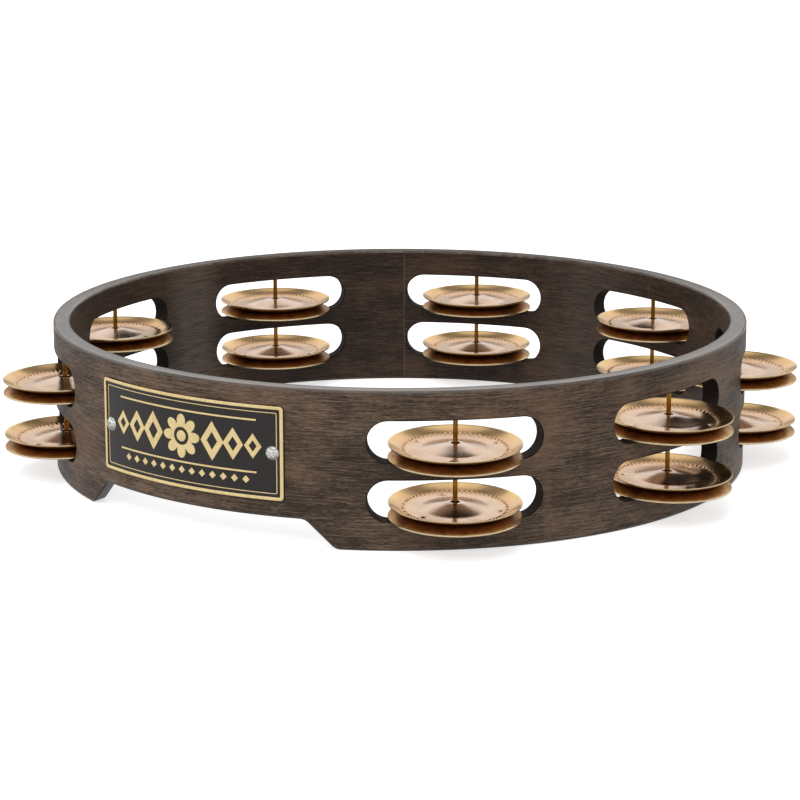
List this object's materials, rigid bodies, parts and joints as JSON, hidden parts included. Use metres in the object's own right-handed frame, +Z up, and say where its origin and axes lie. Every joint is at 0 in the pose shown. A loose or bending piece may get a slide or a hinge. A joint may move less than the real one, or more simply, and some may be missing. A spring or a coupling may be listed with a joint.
{
  "type": "tambourine",
  "caption": "Headless hand tambourine: a bent-wood hoop with a double row of slotted jingle pairs on wire pins, a grip cut-out and a nameplate.",
  "frame": {"origin": "on the hoop's axis, in the plane of its lower edge", "axes": "+Z up along the hoop's axis; -Y out through the middle of the nameplate and the grip cut-out; +X to the player's right when facing the nameplate"},
  "size_m": [0.2898, 0.2669, 0.054],
  "materials": {
    "stained_wood": "dark stained maple, thin satin lacquer",
    "jingle_bronze": "hammered bronze sheet, polished",
    "brass_wire": "drawn brass wire",
    "black_enamel": "black enamel with a brass border",
    "steel": "nickel-plated steel"
  },
  "bodies": {
    "hoop": {"hoop": "stained_wood", "nameplate": "black_enamel", "nameplate_screw_left": "steel", "nameplate_screw_right": "steel", "jingle_pin_1": "brass_wire", "jingle_pin_2": "brass_wire", "jingle_pin_3": "brass_wire", "jingle_pin_4": "brass_wire", "jingle_pin_5": "brass_wire", "jingle_pin_6": "brass_wire", "jingle_pin_7": "brass_wire", "jingle_pin_8": "brass_wire"},
    "jingle_1_bottom_lower": {"jingle_1_bottom_lower": "jingle_bronze"},
    "jingle_1_bottom_upper": {"jingle_1_bottom_upper": "jingle_bronze"},
    "jingle_1_top_lower": {"jingle_1_top_lower": "jingle_bronze"},
    "jingle_1_top_upper": {"jingle_1_top_upper": "jingle_bronze"},
    "jingle_2_bottom_lower": {"jingle_2_bottom_lower": "jingle_bronze"},
    "jingle_2_bottom_upper": {"jingle_2_bottom_upper": "jingle_bronze"},
    "jingle_2_top_lower": {"jingle_2_top_lower": "jingle_bronze"},
    "jingle_2_top_upper": {"jingle_2_top_upper": "jingle_bronze"},
    "jingle_3_bottom_lower": {"jingle_3_bottom_lower": "jingle_bronze"},
    "jingle_3_bottom_upper": {"jingle_3_bottom_upper": "jingle_bronze"},
    "jingle_3_top_lower": {"jingle_3_top_lower": "jingle_bronze"},
    "jingle_3_top_upper": {"jingle_3_top_upper": "jingle_bronze"},
    "jingle_4_bottom_lower": {"jingle_4_bottom_lower": "jingle_bronze"},
    "jingle_4_bottom_upper": {"jingle_4_bottom_upper": "jingle_bronze"},
    "jingle_4_top_lower": {"jingle_4_top_lower": "jingle_bronze"},
    "jingle_4_top_upper": {"jingle_4_top_upper": "jingle_bronze"},
    "jingle_5_bottom_lower": {"jingle_5_bottom_lower": "jingle_bronze"},
    "jingle_5_bottom_upper": {"jingle_5_bottom_upper": "jingle_bronze"},
    "jingle_5_top_lower": {"jingle_5_top_lower": "jingle_bronze"},
    "jingle_5_top_upper": {"jingle_5_top_upper": "jingle_bronze"},
    "jingle_6_bottom_lower": {"jingle_6_bottom_lower": "jingle_bronze"},
    "jingle_6_bottom_upper": {"jingle_6_bottom_upper": "jingle_bronze"},
    "jingle_6_top_lower": {"jingle_6_top_lower": "jingle_bronze"},
    "jingle_6_top_upper": {"jingle_6_top_upper": "jingle_bronze"},
    "jingle_7_bottom_lower": {"jingle_7_bottom_lower": "jingle_bronze"},
    "jingle_7_bottom_upper": {"jingle_7_bottom_upper": "jingle_bronze"},
    "jingle_7_top_lower": {"jingle_7_top_lower": "jingle_bronze"},
    "jingle_7_top_upper": {"jingle_7_top_upper": "jingle_bronze"},
    "jingle_8_bottom_lower": {"jingle_8_bottom_lower": "jingle_bronze"},
    "jingle_8_bottom_upper": {"jingle_8_bottom_upper": "jingle_bronze"},
    "jingle_8_top_lower": {"jingle_8_top_lower": "jingle_bronze"},
    "jingle_8_top_upper": {"jingle_8_top_upper": "jingle_bronze"}
  },
  "joints": [
    {"name": "jingle_1_bottom_lower_lift", "type": "slide", "parent": "hoop", "child": "jingle_1_bottom_lower", "axis": [0, 0, 1], "range_m": [0, 0.0036]},
    {"name": "jingle_1_bottom_upper_lift", "type": "slide", "parent": "jingle_1_bottom_lower", "child": "jingle_1_bottom_upper", "axis": [0, 0, 1], "range_m": [0, 0.0036]},
    {"name": "jingle_1_top_lower_lift", "type": "slide", "parent": "hoop", "child": "jingle_1_top_lower", "axis": [0, 0, 1], "range_m": [0, 0.0036]},
    {"name": "jingle_1_top_upper_lift", "type": "slide", "parent": "jingle_1_top_lower", "child": "jingle_1_top_upper", "axis": [0, 0, 1], "range_m": [0, 0.0036]},
    {"name": "jingle_2_bottom_lower_lift", "type": "slide", "parent": "hoop", "child": "jingle_2_bottom_lower", "axis": [0, 0, 1], "range_m": [0, 0.0036]},
    {"name": "jingle_2_bottom_upper_lift", "type": "slide", "parent": "jingle_2_bottom_lower", "child": "jingle_2_bottom_upper", "axis": [0, 0, 1], "range_m": [0, 0.0036]},
    {"name": "jingle_2_top_lower_lift", "type": "slide", "parent": "hoop", "child": "jingle_2_top_lower", "axis": [0, 0, 1], "range_m": [0, 0.0036]},
    {"name": "jingle_2_top_upper_lift", "type": "slide", "parent": "jingle_2_top_lower", "child": "jingle_2_top_upper", "axis": [0, 0, 1], "range_m": [0, 0.0036]},
    {"name": "jingle_3_bottom_lower_lift", "type": "slide", "parent": "hoop", "child": "jingle_3_bottom_lower", "axis": [0, 0, 1], "range_m": [0, 0.0036]},
    {"name": "jingle_3_bottom_upper_lift", "type": "slide", "parent": "jingle_3_bottom_lower", "child": "jingle_3_bottom_upper", "axis": [0, 0, 1], "range_m": [0, 0.0036]},
    {"name": "jingle_3_top_lower_lift", "type": "slide", "parent": "hoop", "child": "jingle_3_top_lower", "axis": [0, 0, 1], "range_m": [0, 0.0036]},
    {"name": "jingle_3_top_upper_lift", "type": "slide", "parent": "jingle_3_top_lower", "child": "jingle_3_top_upper", "axis": [0, 0, 1], "range_m": [0, 0.0036]},
    {"name": "jingle_4_bottom_lower_lift", "type": "slide", "parent": "hoop", "child": "jingle_4_bottom_lower", "axis": [0, 0, 1], "range_m": [0, 0.0036]},
    {"name": "jingle_4_bottom_upper_lift", "type": "slide", "parent": "jingle_4_bottom_lower", "child": "jingle_4_bottom_upper", "axis": [0, 0, 1], "range_m": [0, 0.0036]},
    {"name": "jingle_4_top_lower_lift", "type": "slide", "parent": "hoop", "child": "jingle_4_top_lower", "axis": [0, 0, 1], "range_m": [0, 0.0036]},
    {"name": "jingle_4_top_upper_lift", "type": "slide", "parent": "jingle_4_top_lower", "child": "jingle_4_top_upper", "axis": [0, 0, 1], "range_m": [0, 0.0036]},
    {"name": "jingle_5_bottom_lower_lift", "type": "slide", "parent": "hoop", "child": "jingle_5_bottom_lower", "axis": [0, 0, 1], "range_m": [0, 0.0036]},
    {"name": "jingle_5_bottom_upper_lift", "type": "slide", "parent": "jingle_5_bottom_lower", "child": "jingle_5_bottom_upper", "axis": [0, 0, 1], "range_m": [0, 0.0036]},
    {"name": "jingle_5_top_lower_lift", "type": "slide", "parent": "hoop", "child": "jingle_5_top_lower", "axis": [0, 0, 1], "range_m": [0, 0.0036]},
    {"name": "jingle_5_top_upper_lift", "type": "slide", "parent": "jingle_5_top_lower", "child": "jingle_5_top_upper", "axis": [0, 0, 1], "range_m": [0, 0.0036]},
    {"name": "jingle_6_bottom_lower_lift", "type": "slide", "parent": "hoop", "child": "jingle_6_bottom_lower", "axis": [0, 0, 1], "range_m": [0, 0.0036]},
    {"name": "jingle_6_bottom_upper_lift", "type": "slide", "parent": "jingle_6_bottom_lower", "child": "jingle_6_bottom_upper", "axis": [0, 0, 1], "range_m": [0, 0.0036]},
    {"name": "jingle_6_top_lower_lift", "type": "slide", "parent": "hoop", "child": "jingle_6_top_lower", "axis": [0, 0, 1], "range_m": [0, 0.0036]},
    {"name": "jingle_6_top_upper_lift", "type": "slide", "parent": "jingle_6_top_lower", "child": "jingle_6_top_upper", "axis": [0, 0, 1], "range_m": [0, 0.0036]},
    {"name": "jingle_7_bottom_lower_lift", "type": "slide", "parent": "hoop", "child": "jingle_7_bottom_lower", "axis": [0, 0, 1], "range_m": [0, 0.0036]},
    {"name": "jingle_7_bottom_upper_lift", "type": "slide", "parent": "jingle_7_bottom_lower", "child": "jingle_7_bottom_upper", "axis": [0, 0, 1], "range_m": [0, 0.0036]},
    {"name": "jingle_7_top_lower_lift", "type": "slide", "parent": "hoop", "child": "jingle_7_top_lower", "axis": [0, 0, 1], "range_m": [0, 0.0036]},
    {"name": "jingle_7_top_upper_lift", "type": "slide", "parent": "jingle_7_top_lower", "child": "jingle_7_top_upper", "axis": [0, 0, 1], "range_m": [0, 0.0036]},
    {"name": "jingle_8_bottom_lower_lift", "type": "slide", "parent": "hoop", "child": "jingle_8_bottom_lower", "axis": [0, 0, 1], "range_m": [0, 0.0036]},
    {"name": "jingle_8_bottom_upper_lift", "type": "slide", "parent": "jingle_8_bottom_lower", "child": "jingle_8_bottom_upper", "axis": [0, 0, 1], "range_m": [0, 0.0036]},
    {"name": "jingle_8_top_lower_lift", "type": "slide", "parent": "hoop", "child": "jingle_8_top_lower", "axis": [0, 0, 1], "range_m": [0, 0.0036]},
    {"name": "jingle_8_top_upper_lift", "type": "slide", "parent": "jingle_8_top_lower", "child": "jingle_8_top_upper", "axis": [0, 0, 1], "range_m": [0, 0.0036]}
  ]
}
